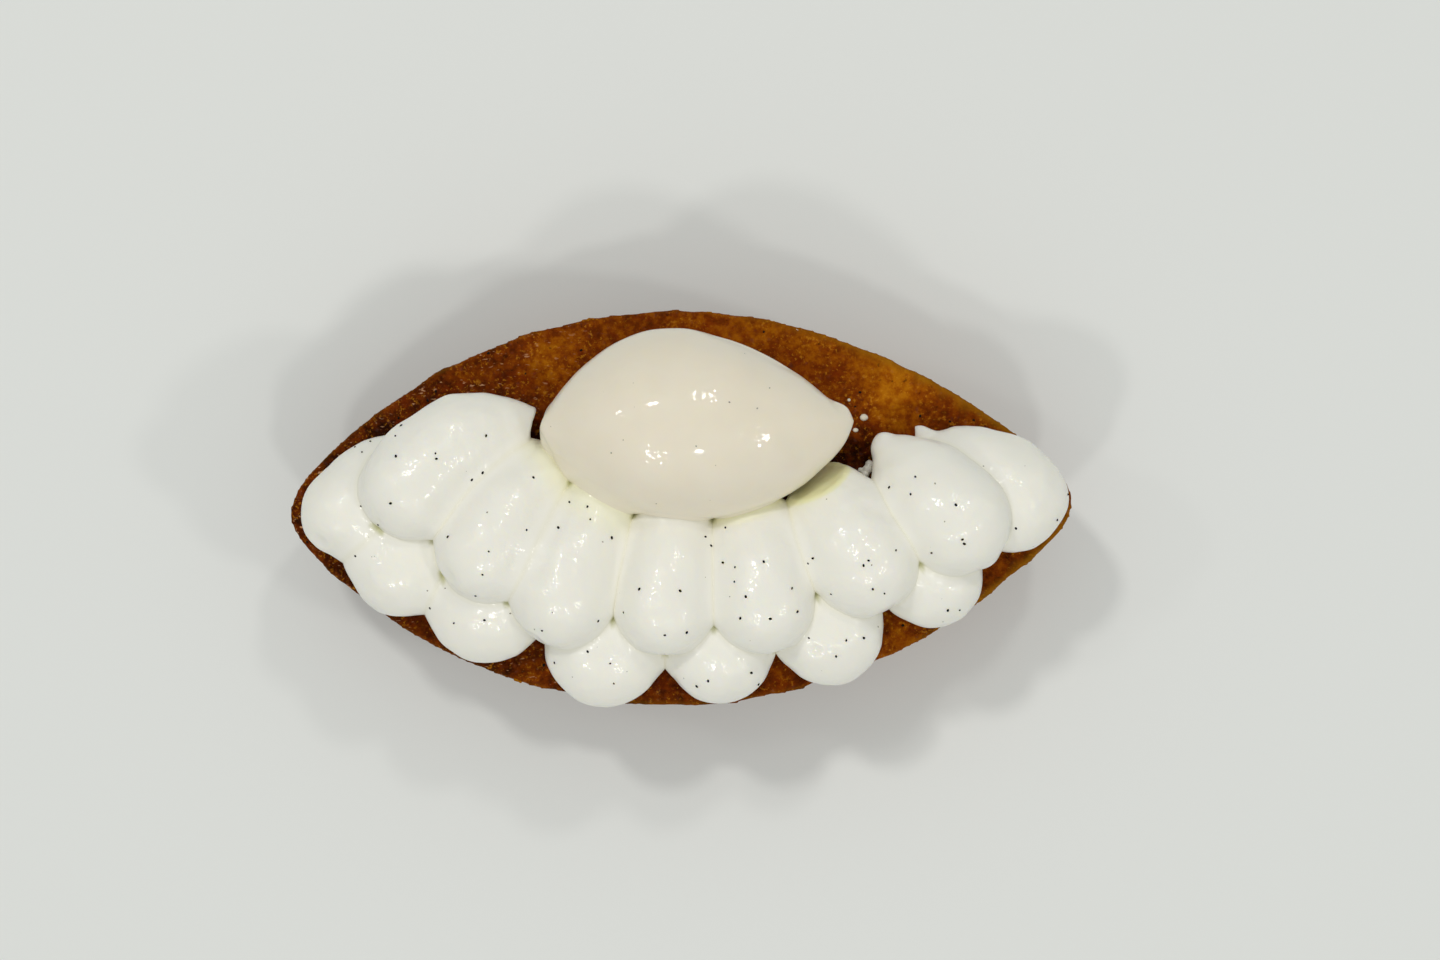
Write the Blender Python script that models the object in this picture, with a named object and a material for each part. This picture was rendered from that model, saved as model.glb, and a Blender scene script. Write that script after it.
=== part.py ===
"""A boat-shaped tea cake, with two rows of piped cream along its front edge and a quenelle of ice cream
behind them.

The cake lies along X with its front edge towards -Y, and stands on z = 0. Sizes are in metres.
"""

import math
from collections import namedtuple

import bmesh
import bpy
from mathutils import Matrix, Vector, noise

MM = 0.001
TINY = 1e-6
SMOOTH_BELOW = math.radians(40)  # edges flatter than this are shaded smooth

# The baked cake, served with the open side of its mould up.
CAKE_LENGTH = 125.0 * MM
CAKE_DEPTH_BACK = 31.7 * MM  # from the long axis to the back edge
CAKE_DEPTH_FRONT = 31.4 * MM
RIM_FLASH = 0.9 * MM  # the ragged lip left where batter crept over the mould's edge
FLASH_PATCH = 7.0 * MM  # the usual length of one flake of that lip
FLASH_COVER = 0.15  # a larger value leaves less of the rim bare
OUTLINE_STEPS = 34  # points along each quarter of the outline

# The rings of the side from the base up: height and inset in millimetres, and share of the ragged lip. The
# side swells out like a hull, stops a little inside the rim, and ends in a bevel.
Ring = namedtuple("Ring", "height inset lip")
RINGS = (
    Ring(0.0, 11.0, 0.0),
    Ring(0.9, 9.2, 0.0),
    Ring(3.0, 7.0, 0.0),
    Ring(6.5, 4.7, 0.0),
    Ring(12.0, 2.6, 0.0),
    Ring(18.0, 1.1, 0.0),
    Ring(23.0, 0.35, 0.0),
    Ring(23.4, 0.0, 1.0),
    Ring(23.8, 0.1, 0.7),
    Ring(24.0, 0.8, 0.0),
)
CAKE_HEIGHT = RINGS[-1].height * MM

# Each quarter of the outline is depth * (1 - |t| ** spread) ** close, with t running from 0 amidships to 1
# at the tip.
Quarter = namedtuple("Quarter", "spread close")
BACK_LEFT = Quarter(2.10, 0.78)
BACK_RIGHT = Quarter(1.80, 0.78)
FRONT_LEFT = Quarter(2.15, 0.80)
FRONT_RIGHT = Quarter(2.00, 0.80)
TIP_ROUND = 0.35  # how much of a round end both tips take on
TIP_SPAN = 12  # how close to the tips that stays

# Touching pieces keep this much air between them.
GAP = 0.3 * MM

# A piped dollop is a ball of cream, the heel, drawn out into a tail. Heel places and sizes are in
# millimetres, the heading is the tail's direction in degrees from +X, sway bows the tail to its left, and
# tail is the tail's share of the breadth.
Dollop = namedtuple("Dollop", "x y breadth reach heading sway tail")
LOWER_ROW = (
    Dollop(-52.8, 0.4, 14.9, 16.0, 45, 0.0, 0.35),
    Dollop(-44.4, -8.1, 16.6, 16.0, 60, 0.0, 0.35),
    Dollop(-31.0, -14.4, 19.3, 18.0, 67, 0.0, 0.35),
    Dollop(-12.4, -21.8, 19.2, 18.0, 77, 0.0, 0.35),
    Dollop(5.6, -22.6, 17.2, 18.0, 91, 0.0, 0.35),
    Dollop(23.1, -20.1, 17.0, 18.0, 105, 0.0, 0.35),
    Dollop(39.7, -11.7, 16.2, 17.0, 121, 0.0, 0.35),
    Dollop(52.4, 0.6, 17.3, 18.4, 142, 1.4, 0.12),
)
UPPER_ROW = (
    Dollop(-41.6, 4.1, 16.6, 23.5, 27.5, 2.8, 0.32),
    Dollop(-30.3, -6.0, 16.0, 19.8, 57, 0.6, 0.62),
    Dollop(-18.6, -13.4, 16.0, 21.0, 69, 0.4, 0.60),
    Dollop(-2.7, -15.3, 15.4, 19.6, 83, 0.0, 0.62),
    Dollop(12.7, -15.1, 15.8, 19.6, 97, 0.0, 0.55),
    Dollop(28.5, -9.0, 16.9, 16.2, 116, 0.6, 0.62),
    Dollop(43.3, -2.7, 17.0, 18.5, 131, 0.4, 0.22),
)
# Two upper tails were cut flat with the edge of a spoon: a place on each cut in millimetres, and the
# direction it faces.
Cut = namedtuple("Cut", "place facing")
CUTS = {
    "cream_upper_1": Cut(Vector((-22.5, 15.8, 24.0)), Vector((5.04, -1.52, 0.0))),
    "cream_upper_6": Cut(Vector((27.0, 5.3, 35.2)), Vector((-0.56, 0.77, 0.31))),
}

# Heights of a row above the top of the cake: the middle of the heel, its crown, how far it swells below its
# middle, and the middle of the tail's end.
Row = namedtuple("Row", "middle crown sag tail_middle")
LOWER = Row(5.8 * MM, 12.8 * MM, 7.0 * MM, 3.2 * MM)
UPPER = Row(12.2 * MM, 19.4 * MM, 9.5 * MM, 7.0 * MM)
TAIL_TAPER = 1.5  # how late the tail narrows
TAIL_BLUNT = 6  # how suddenly the tail's end closes
TAIL_FALL = 1.3  # how late the tail sinks towards the cake
TAIL_ROOTING = 1.0 * MM  # the tail's underside would reach this far into the cake: it ends on a flat
SKIRT_DEPTH = 4.0 * MM  # a cutter's straight sides run this far into the cake
SKIRT_ROUND = 0.2  # how rounded those sides are
POLE_FADE = 4  # how suddenly a cutter's extra size starts beside the poles
DOLLOP_SEGMENTS = 18
DOLLOP_RINGS = 14

# The quenelle, an egg turned between two spoons. Its left end is rounder and its right end comes to a point.
QUENELLE_CENTRE = Vector((2.9 * MM, 12.95 * MM, CAKE_HEIGHT + 13.2 * MM))
QUENELLE_HALF_LENGTH = 24.5 * MM
QUENELLE_BACK = 15.3 * MM
QUENELLE_FRONT = 14.7 * MM
QUENELLE_RISE = 12.8 * MM
QUENELLE_SINK = 14.6 * MM  # more than the room below the middle, so it rests on a flat
Flank = namedtuple("Flank", "crest left right")
BACK_FLANK = Flank(-0.17, Quarter(2.00, 0.80), Quarter(1.80, 0.90))
FRONT_FLANK = Flank(-0.06, Quarter(2.10, 0.75), Quarter(2.15, 0.70))
RIDGE_FLANK = Flank(-0.10, Quarter(2.10, 0.62), Quarter(1.90, 0.70))
QUENELLE_SEGMENTS = 28
QUENELLE_RINGS = 20
# Three places where its outline was drawn out by hand: the two shoulders of the melted left foot, and the
# lip at the right tip. Each has a place, a reach, and a pull, in millimetres.
Pull = namedtuple("Pull", "x y z reach dx dy")
QUENELLE_PULLS = (
    Pull(-21.0, 10.8, 34.0, 4.0, -1.1, -0.6),
    Pull(-20.4, 16.0, 34.0, 3.5, -0.7, 0.1),
    Pull(26.0, 14.8, 37.2, 3.5, 0.6, 0.6),
)


def clear_scene():
    for obj in list(bpy.data.objects):
        bpy.data.objects.remove(obj)


def finish(name, base_color, roughness):
    """A plain Principled material. Nothing on the cake is metal."""
    material = bpy.data.materials.new(name)
    material.use_nodes = True
    surface = material.node_tree.nodes["Principled BSDF"]
    surface.inputs["Base Color"].default_value = (*base_color, 1.0)
    surface.inputs["Roughness"].default_value = roughness
    surface.inputs["Metallic"].default_value = 0.0
    return material


def swell(t, quarter):
    """How much of its full depth a rounded outline keeps at t, from 0 in the middle to 1 at the end."""
    return (1.0 - abs(t) ** quarter.spread) ** quarter.close if abs(t) < 1.0 else 0.0


def flank_swell(t, flank):
    """The same for an outline whose widest place, the crest, isn't in the middle."""
    if t < flank.crest:
        return swell((flank.crest - t) / (flank.crest + 1.0), flank.left)
    return swell((t - flank.crest) / (1.0 - flank.crest), flank.right)


def cake_swell(t, quarter):
    """The cake's own outline, whose tips are blunter."""
    pointed = swell(t, quarter)
    round_end = math.sqrt(max(0.0, 1.0 - t * t))
    return pointed + TIP_ROUND * abs(t) ** TIP_SPAN * (round_end - pointed)


def cake_outline():
    """Points round the rim, anticlockwise from the right tip, closer together towards both tips."""
    half = CAKE_LENGTH / 2
    points = []
    for i in range(4 * OUTLINE_STEPS):
        turn = math.pi / 2 * i / OUTLINE_STEPS
        t = math.cos(turn)
        if i <= 2 * OUTLINE_STEPS:
            depth = CAKE_DEPTH_BACK * cake_swell(t, BACK_RIGHT if t > 0 else BACK_LEFT)
        else:
            depth = -CAKE_DEPTH_FRONT * cake_swell(t, FRONT_RIGHT if t > 0 else FRONT_LEFT)
        points.append(Vector((half * t, depth, 0.0)))
    return points


def flash_at(point):
    """How far the ragged lip stands out at a point of the rim."""
    patch = noise.noise(point / FLASH_PATCH)
    return RIM_FLASH * max(0.0, patch + FLASH_COVER)


def cake_ring(mesh, outline, ring):
    """One ring of vertices round the cake. An inset shrinks both axes, so that the tips don't cross over."""
    inset = ring.inset * MM
    along = 1.0 - inset / (CAKE_LENGTH / 2)
    across = 1.0 - inset / CAKE_DEPTH_BACK
    loop = []
    for point in outline:
        lip = point.normalized() * flash_at(point) * ring.lip
        loop.append(mesh.verts.new((point.x * along + lip.x, point.y * across + lip.y, ring.height * MM)))
    return loop


def build_cake(material):
    outline = cake_outline()
    mesh = bmesh.new()
    loops = [cake_ring(mesh, outline, ring) for ring in RINGS]
    count = len(outline)
    for lower, upper in zip(loops, loops[1:]):
        for i in range(count):
            j = (i + 1) % count
            mesh.faces.new((lower[i], lower[j], upper[j], upper[i]))
    mesh.faces.new(list(reversed(loops[0])))
    mesh.faces.new(loops[-1])
    return place("cake", mesh, material)


def place(name, mesh, material):
    """Turns a bmesh into a smooth-shaded object."""
    data = bpy.data.meshes.new(name)
    mesh.to_mesh(data)
    mesh.free()
    data.shade_smooth()
    data.set_sharp_from_angle(angle=SMOOTH_BELOW)
    data.materials.append(material)
    obj = bpy.data.objects.new(name, data)
    bpy.context.scene.collection.objects.link(obj)
    return obj


def ball_mesh(segments, rings):
    """A unit ball with its poles on the X axis."""
    mesh = bmesh.new()
    bmesh.ops.create_uvsphere(mesh, u_segments=segments, v_segments=rings, radius=1.0)
    bmesh.ops.rotate(mesh, verts=mesh.verts, cent=(0, 0, 0), matrix=Matrix.Rotation(math.pi / 2, 3, "Y"))
    return mesh


def ball_parts(point):
    """A ball's point: its place along the axis, its ring's radius, and its direction in the ring."""
    axial, left, up = point
    ring = math.hypot(left, up)
    if ring < TINY:
        return axial, 0.0, 0.0, 0.0
    return axial, ring, left / ring, up / ring


def dollop_width(dollop, axial, ring):
    """The dollop's breadth as a share of its heel's: a half ball, then the narrowing tail."""
    if axial < 0.0:
        return ring
    narrowing = dollop.tail + (1 - dollop.tail) * math.cos(math.pi / 2 * axial**TAIL_TAPER)
    return narrowing * math.sqrt(max(0.0, 1 - axial**TAIL_BLUNT))


def dollop_mesh(dollop, row, inflate=0.0, skirted=False):
    """A dollop, or the slightly larger, straight-sided cutter that makes room for it in its neighbours."""
    radius = dollop.breadth / 2 * MM
    heading = math.radians(dollop.heading)
    ahead = Vector((math.cos(heading), math.sin(heading), 0.0))
    aside = Vector((-math.sin(heading), math.cos(heading), 0.0))
    heel = Vector((dollop.x * MM, dollop.y * MM, CAKE_HEIGHT))
    mesh = ball_mesh(DOLLOP_SEGMENTS, DOLLOP_RINGS)
    for vertex in mesh.verts:
        axial, ring, spoke_left, spoke_up = ball_parts(vertex.co)
        width = dollop_width(dollop, axial, ring)
        share = max(0.0, axial)  # of the way from the heel to the end of the tail
        along = axial * ((dollop.reach * MM if axial > 0.0 else radius) + inflate)
        swollen = inflate * min(1.0, POLE_FADE * width)
        middle = row.middle + (row.tail_middle - row.middle) * share**TAIL_FALL
        rise = (row.crown - row.middle) * width + swollen
        sink = row.sag * width * (1 - share) + (middle + TAIL_ROOTING) * min(1.0, 2 * width) * share
        sideways = (radius * width + swollen) * spoke_left
        height = middle + (rise if spoke_up > 0.0 else sink) * spoke_up
        if skirted and spoke_up < 0.0:
            sideways = (radius * width + swollen) * math.copysign(abs(spoke_left) ** SKIRT_ROUND, spoke_left)
            height = middle + (middle + SKIRT_DEPTH) * spoke_up * min(1.0, POLE_FADE * width)
        elif not skirted:
            height = max(GAP, height)
        bow = dollop.sway * MM * 4 * share * (1 - share)  # greatest halfway along the tail
        vertex.co = heel + ahead * along + aside * (sideways + bow) + Vector((0.0, 0.0, height))
    return mesh


def trim(mesh, flat):
    """Presses the points beyond a cut back onto it, and keeps them clear of the cake."""
    facing = flat.facing.normalized()
    for vertex in mesh.verts:
        beyond = (vertex.co - flat.place * MM).dot(facing)
        vertex.co -= facing * max(0.0, beyond)
        vertex.co.z = max(CAKE_HEIGHT + GAP, vertex.co.z)


def drawn_out(spot, pulls):
    """Moves a spot with the pulls that reach it. Each fades smoothly to nothing at its reach."""
    moved = spot.copy()
    for pull in pulls:
        nearness = 1.0 - (spot / MM - Vector((pull.x, pull.y, pull.z))).length / pull.reach
        if nearness > 0.0:
            moved += Vector((pull.dx, pull.dy, 0.0)) * MM * nearness**2 * (3.0 - 2.0 * nearness)
    return moved


def quenelle_mesh(inflate=0.0):
    """The quenelle, or the slightly larger cutter that makes room for it in the cream."""
    mesh = ball_mesh(QUENELLE_SEGMENTS, QUENELLE_RINGS)
    floor = CAKE_HEIGHT + GAP - inflate
    for vertex in mesh.verts:
        axial, ring, spoke_left, spoke_up = ball_parts(vertex.co)
        flank, depth = (BACK_FLANK, QUENELLE_BACK) if spoke_left > 0 else (FRONT_FLANK, QUENELLE_FRONT)
        swollen = inflate * min(1.0, POLE_FADE * ring)
        sideways = (depth * flank_swell(axial, flank) + swollen) * spoke_left
        tall = QUENELLE_RISE if spoke_up > 0 else QUENELLE_SINK
        height = (tall * flank_swell(axial, RIDGE_FLANK) + swollen) * spoke_up
        spot = QUENELLE_CENTRE + Vector((axial * (QUENELLE_HALF_LENGTH + inflate), sideways, height))
        vertex.co = drawn_out(spot, QUENELLE_PULLS)
        vertex.co.z = max(floor, vertex.co.z)
    return mesh


def make_cutter(name, mesh):
    cutter = place(name, mesh, None)
    cutter.hide_render = True
    cutter.display_type = "WIRE"
    return cutter


def cut(obj, cutter):
    boolean = obj.modifiers.new("clear_of_" + cutter.name, "BOOLEAN")
    boolean.operation = "DIFFERENCE"
    boolean.solver = "EXACT"
    boolean.object = cutter


def box_of(obj):
    corners = [Vector(corner) for corner in obj.bound_box]
    low = Vector(map(min, *corners))
    high = Vector(map(max, *corners))
    return low, high


def boxes_meet(one, other):
    (low_a, high_a), (low_b, high_b) = box_of(one), box_of(other)
    return all(low_a[i] < high_b[i] and low_b[i] < high_a[i] for i in range(3))


def build_cream(material, quenelle_cutter):
    """Pipes the lower row, then the upper row over it. Each dollop gives way to the ones before it."""
    cutters = []
    for row_name, row, dollops in (("lower", LOWER, LOWER_ROW), ("upper", UPPER, UPPER_ROW)):
        for number, dollop in enumerate(dollops, start=1):
            name = f"cream_{row_name}_{number}"
            mesh = dollop_mesh(dollop, row)
            if name in CUTS:
                trim(mesh, CUTS[name])
            piped = place(name, mesh, material)
            for cutter in [*cutters, quenelle_cutter]:
                if boxes_meet(piped, cutter):
                    cut(piped, cutter)
            cutters.append(make_cutter(name + "_room", dollop_mesh(dollop, row, GAP, skirted=True)))


def main():
    clear_scene()
    crust = finish("browned_crust", (0.21, 0.06, 0.008), 0.5)
    cream = finish("whipped_cream", (0.80, 0.77, 0.68), 0.4)
    ice_cream = finish("vanilla_ice_cream", (0.74, 0.68, 0.54), 0.25)
    build_cake(crust)
    place("quenelle", quenelle_mesh(), ice_cream)
    build_cream(cream, make_cutter("quenelle_room", quenelle_mesh(GAP)))


main()
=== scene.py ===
# %% [markdown]
# # A tea cake with piped cream and a quenelle
#
# The cake is baked in a boat-shaped mould and served with the mould's open side up. Cream is piped along
# its front edge in two rows, and a quenelle, an egg of vanilla ice cream turned between two spoons, lies
# behind them.
#
# The plain solids of the cake, the dollops and the quenelle come from the frame. Each is replaced here by a
# finished piece of the same form: the solids say where things are, and this lesson says how they look.

# %% Load the frame
import math
import random
from collections import namedtuple

import bmesh
import bpy
from mathutils import Matrix, Vector, noise
from mathutils.bvhtree import BVHTree


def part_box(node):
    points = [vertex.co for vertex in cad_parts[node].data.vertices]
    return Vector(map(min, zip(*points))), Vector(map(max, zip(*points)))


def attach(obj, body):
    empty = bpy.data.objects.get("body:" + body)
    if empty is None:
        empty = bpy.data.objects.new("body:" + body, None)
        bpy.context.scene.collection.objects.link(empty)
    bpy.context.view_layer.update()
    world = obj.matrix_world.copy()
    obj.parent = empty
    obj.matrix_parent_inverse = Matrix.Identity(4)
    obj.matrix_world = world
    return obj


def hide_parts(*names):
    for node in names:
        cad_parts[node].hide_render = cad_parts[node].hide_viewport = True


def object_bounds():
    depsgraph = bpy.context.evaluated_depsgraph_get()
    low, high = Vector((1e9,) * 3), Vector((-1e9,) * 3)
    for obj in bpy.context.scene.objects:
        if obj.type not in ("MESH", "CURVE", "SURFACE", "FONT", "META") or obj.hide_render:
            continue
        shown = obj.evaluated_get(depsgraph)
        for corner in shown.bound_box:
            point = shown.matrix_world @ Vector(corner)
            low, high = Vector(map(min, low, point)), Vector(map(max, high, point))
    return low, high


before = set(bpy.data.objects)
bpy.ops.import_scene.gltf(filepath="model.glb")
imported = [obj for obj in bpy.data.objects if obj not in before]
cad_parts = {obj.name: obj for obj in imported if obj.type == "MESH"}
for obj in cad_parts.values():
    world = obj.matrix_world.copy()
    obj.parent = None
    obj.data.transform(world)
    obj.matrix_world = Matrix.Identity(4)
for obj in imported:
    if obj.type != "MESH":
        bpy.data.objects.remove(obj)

MM = 0.001
cad_low, cad_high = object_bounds()
cad_size = (cad_high - cad_low) / MM
print(f"the frame is {cad_size.x:.1f} x {cad_size.y:.1f} x {cad_size.z:.1f} mm")

# %% [markdown]
# ## The camera
#
# The picture was taken from straight above, so the camera needs no tilt, only a small turn about its own
# axis. A long lens far away keeps the sides of the cake out of sight, as they are in the picture. A short
# lens close by would frame the same area but would show the walls.

# %% Camera
CAMERA_PLACE = (6.3 * MM, 4.3 * MM, 574.0 * MM)
CAMERA_TURN = math.radians(-1.1)
CAMERA_LENS = 85.9

bpy.ops.object.camera_add(location=CAMERA_PLACE, rotation=(0.0, 0.0, CAMERA_TURN))
camera = bpy.context.object
camera.data.lens = CAMERA_LENS
camera.data.sensor_width = 36.0
camera.data.clip_start = 10 * MM
bpy.context.scene.camera = camera
print(f"camera {CAMERA_PLACE[2] / MM:.0f} mm above the floor")

# %% [markdown]
# ## The floor and the light
#
# A few small spots hang over the cake, and soft light comes from everywhere else. The spots make the small
# highlights on the ice cream, and where those lie tells where the spots are: half way between straight up
# and the light is the direction the surface faces there. The soft light could come from one large panel,
# but the world's own colour is simpler and lights the sides evenly too.
#
# The Standard view transform leaves colours as they are, so a measured colour can be used as it is.

# %% Floor and light
FLOOR_SIZE = 4.0
FLOOR_COLOR = (0.80, 0.82, 0.80, 1.0)
WORLD_COLOR = (0.97, 1.0, 0.99, 1.0)
WORLD_STRENGTH = 0.42
SPOT_DISTANCE = 1.0
SPOT_SIZE = 0.085
SPOT_COLOR = (1.0, 0.975, 0.94)
# Each spot's direction seen from the cake, to the right, to the back and up, and its power in watts.
SPOTS = (
    ((-0.30, 0.46, 1.0), 1.6),
    ((-0.34, -0.58, 1.0), 1.0),
    ((0.18, -0.57, 1.0), 0.9),
    ((0.28, 0.66, 1.0), 0.8),
    ((0.84, -0.30, 1.0), 0.8),
    ((-0.74, 0.24, 1.0), 0.3),
)


def add_spot(name, toward, power):
    """A round area light that looks back at the cake."""
    direction = Vector(toward).normalized()
    turn = direction.to_track_quat("Z", "Y").to_euler()
    bpy.ops.object.light_add(type="AREA", location=direction * SPOT_DISTANCE, rotation=turn)
    light = bpy.context.object
    light.name = name
    light.data.shape = "DISK"
    light.data.size = SPOT_SIZE
    light.data.energy = power
    light.data.color = SPOT_COLOR


bpy.ops.mesh.primitive_plane_add(size=FLOOR_SIZE)
floor = bpy.context.object
floor.name = "floor"
floor_paint = bpy.data.materials.new("pale_floor")
floor_paint.use_nodes = True
floor_surface = floor_paint.node_tree.nodes["Principled BSDF"]
floor_surface.inputs["Base Color"].default_value = FLOOR_COLOR
floor_surface.inputs["Roughness"].default_value = 0.7
floor.data.materials.append(floor_paint)

world = bpy.data.worlds.new("soft_room")
world.use_nodes = True
world.node_tree.nodes["Background"].inputs["Color"].default_value = WORLD_COLOR
world.node_tree.nodes["Background"].inputs["Strength"].default_value = WORLD_STRENGTH
bpy.context.scene.world = world
for number, (toward, power) in enumerate(SPOTS, start=1):
    add_spot(f"spot_{number}", toward, power)
bpy.context.scene.view_settings.view_transform = "Standard"
print(f"{len(SPOTS)} spots, {sum(power for _, power in SPOTS):.1f} W")

# %% [markdown]
# ## A few hand tools
#
# Shaping by hand in edit mode is always the same three moves: select some points, then move or scale them.
# These helpers are those moves. Proportional editing drags the neighbours along with the points that are
# picked, which is how soft dents and drawn-out tips are made.

# %% Hand tools
TINY = 1e-6


def pick(test):
    """Selects the points for which test(place) is true, in edit mode."""
    mesh = bmesh.from_edit_mesh(bpy.context.object.data)
    for point in mesh.verts:
        point.select_set(bool(test(point.co)))
    mesh.select_flush(True)
    bmesh.update_edit_mesh(bpy.context.object.data)


def pick_nearest(place):
    """Selects the one point that is nearest to a place."""
    mesh = bmesh.from_edit_mesh(bpy.context.object.data)
    target = Vector(place)
    nearest = min(mesh.verts, key=lambda point: (point.co - target).length_squared)
    for point in mesh.verts:
        point.select_set(point is nearest)
    mesh.select_flush(True)
    bmesh.update_edit_mesh(bpy.context.object.data)
    return nearest.co.copy(), nearest.normal.copy()


def move(x=0.0, y=0.0, z=0.0, soft_reach=0.0):
    """Moves the selected points, and with a soft reach their neighbours too."""
    bpy.ops.transform.translate(
        value=(x, y, z),
        use_proportional_edit=soft_reach > 0.0,
        proportional_edit_falloff="SMOOTH",
        proportional_size=soft_reach or 1.0,
    )


def scale(x=1.0, y=1.0, z=1.0, about=(0.0, 0.0, 0.0)):
    """Scales the selected points about a place."""
    bpy.ops.transform.resize(value=(x, y, z), center_override=about)


def choose(obj):
    """Selects one object and nothing else."""
    bpy.ops.object.select_all(action="DESELECT")
    obj.select_set(True)
    bpy.context.view_layer.objects.active = obj


def edit(obj, editing=True):
    """Goes into edit mode on one object, or back out."""
    if editing:
        choose(obj)
    bpy.ops.object.mode_set(mode="EDIT" if editing else "OBJECT")


def settle(obj):
    """Writes an object's place, turn and scale into its mesh, so that the object sits at the origin."""
    choose(obj)
    bpy.ops.object.transform_apply(location=True, rotation=True, scale=True)


def apply_modifier(obj, kind, **settings):
    """Adds a modifier and applies it at once."""
    bpy.context.view_layer.objects.active = obj
    modifier = obj.modifiers.new(kind.lower(), kind)
    for name, value in settings.items():
        setattr(modifier, name, value)
    bpy.ops.object.modifier_apply(modifier=modifier.name)


def roughen(obj, grain, depth, kind="CLOUDS", octaves=1, middle=0.5):
    """Pushes the surface in and out by a noise with lumps of the size of grain."""
    texture = bpy.data.textures.new(f"{obj.name}_{kind.lower()}", kind)
    texture.noise_scale = grain
    if kind == "CLOUDS":
        texture.noise_depth = octaves
    apply_modifier(obj, "DISPLACE", texture=texture, strength=depth, mid_level=middle)
    bpy.data.textures.remove(texture)


def dress(obj, material):
    """Shades an object smooth and gives it its material."""
    choose(obj)
    bpy.ops.object.shade_smooth()
    obj.data.materials.append(material)


def set_values(obj, name, values):
    """Stores one number a point on the mesh, for a material to read."""
    attribute = obj.data.attributes.new(name, "FLOAT", "POINT")
    attribute.data.foreach_set("value", values)


def store(obj, name, value_at):
    """Stores the number that a function gives for each point's place, or the same number at all of them."""
    points = obj.data.vertices
    set_values(obj, name, [value_at(point.co) if callable(value_at) else value_at for point in points])


def count_triangles(obj):
    return sum(len(face.vertices) - 2 for face in obj.data.polygons)


# %% [markdown]
# ## Material helpers
#
# Every finish here is made of nodes, with no picture behind it. All of them read Object coordinates, whose
# unit is the metre, so a noise with a scale of 1000 has lumps of about a millimetre.

# %% Material helpers


def new_finish(name):
    """A material with a Principled shader, and its Object coordinates."""
    finish = bpy.data.materials.new(name)
    finish.use_nodes = True
    coordinates = finish.node_tree.nodes.new("ShaderNodeTexCoord")
    return finish, finish.node_tree.nodes["Principled BSDF"], coordinates.outputs["Object"]


def connect(finish, value, socket):
    if isinstance(value, bpy.types.NodeSocket):
        finish.node_tree.links.new(value, socket)
    else:
        socket.default_value = value


def fill(finish, node, **inputs):
    """Fills a node's inputs with numbers or with other nodes' outputs."""
    for name, value in inputs.items():
        connect(finish, value, node.inputs[name.replace("_", " ")])


def add(finish, kind, settings=None, **inputs):
    """Adds a node, sets its options and fills its inputs."""
    made = finish.node_tree.nodes.new("ShaderNode" + kind)
    for name, value in (settings or {}).items():
        setattr(made, name, value)
    fill(finish, made, **inputs)
    return made


def noise_of(finish, where, lumps_per_metre, detail=2.0, roughness=0.5):
    made = add(finish, "TexNoise", Vector=where, Scale=lumps_per_metre, Detail=detail, Roughness=roughness)
    return made.outputs["Fac"]


def ramp(finish, value, low, high, to_low=0.0, to_high=1.0):
    """Stretches the numbers from low to high onto to_low to to_high, and stops there."""
    made = add(finish, "MapRange", {"interpolation_type": "SMOOTHSTEP"}, Value=value)
    fill(finish, made, From_Min=low, From_Max=high, To_Min=to_low, To_Max=to_high)
    return made.outputs["Result"]


def mix(finish, share, one, other, blend="MIX"):
    """Mixes two colours. The colour sockets of the Mix node are its seventh and eighth inputs."""
    made = add(finish, "Mix", {"data_type": "RGBA", "blend_type": blend})
    connect(finish, share, made.inputs[0])
    connect(finish, one, made.inputs[6])
    connect(finish, other, made.inputs[7])
    return made.outputs[2]


def times(finish, one, other, operation="MULTIPLY"):
    made = add(finish, "Math", {"operation": operation})
    connect(finish, one, made.inputs[0])
    connect(finish, other, made.inputs[1])
    return made.outputs[0]


def plus(finish, one, other):
    return times(finish, one, other, "ADD")


def bump(finish, height, depth, below=None):
    """A bump of a real depth in metres, laid over another one if that is given."""
    made = add(finish, "Bump", Height=height, Distance=depth)
    if below is not None:
        finish.node_tree.links.new(below, made.inputs["Normal"])
    return made.outputs["Normal"]


def stored(finish, name):
    """A number that the mesh stores at each point."""
    return add(finish, "Attribute", {"attribute_name": name}).outputs["Fac"]


# %% [markdown]
# ## The crust: colour and gloss
#
# A soaked crust is dark brown where it is wet and amber where the crumb shows through. The mesh stores how
# dark each point is baked, and the shader turns that number into a colour through a ramp of measured
# browns. Noise breaks it up: blotches of two millimetres, clusters of amber crumbs, dark pores, and short
# pale dashes on the dark side, which follow the length of the cake. The rim keeps a smooth golden edge,
# where the batter touched hot metal.
#
# The browns have almost no blue in them, and an even gloss would turn them grey. So the crust itself hardly
# reflects, and the syrup is a coat in small specks only, where the glints are.

# %% Crust finish
CRUST_COLORS = (
    (0.00, (0.420, 0.140, 0.0020)),
    (0.25, (0.300, 0.075, 0.0)),
    (0.50, (0.176, 0.030, 0.0)),
    (0.75, (0.086, 0.0130, 0.0)),
    (1.00, (0.024, 0.0038, 0.0)),
)
AMBER_CRUMB = (0.52, 0.200, 0.010, 1.0)
# Painted glints of wet syrup: short pale dashes on the left side, faded out between these two places.
PAINTED_GLINT_COLOR = (0.66, 0.350, 0.180, 1.0)
PAINTED_GLINT_FROM = -35 * MM
PAINTED_GLINT_TO = -8 * MM
RED_CRUST = (0.19, 0.022, 0.0, 1.0)
PORE_COLOR = (0.024, 0.005, 0.0003, 1.0)
# Painted highlight along the rim, where the rounded edge catches the light.
RIM_HIGHLIGHT_COLOR = (0.300, 0.122, 0.003, 1.0)


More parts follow.
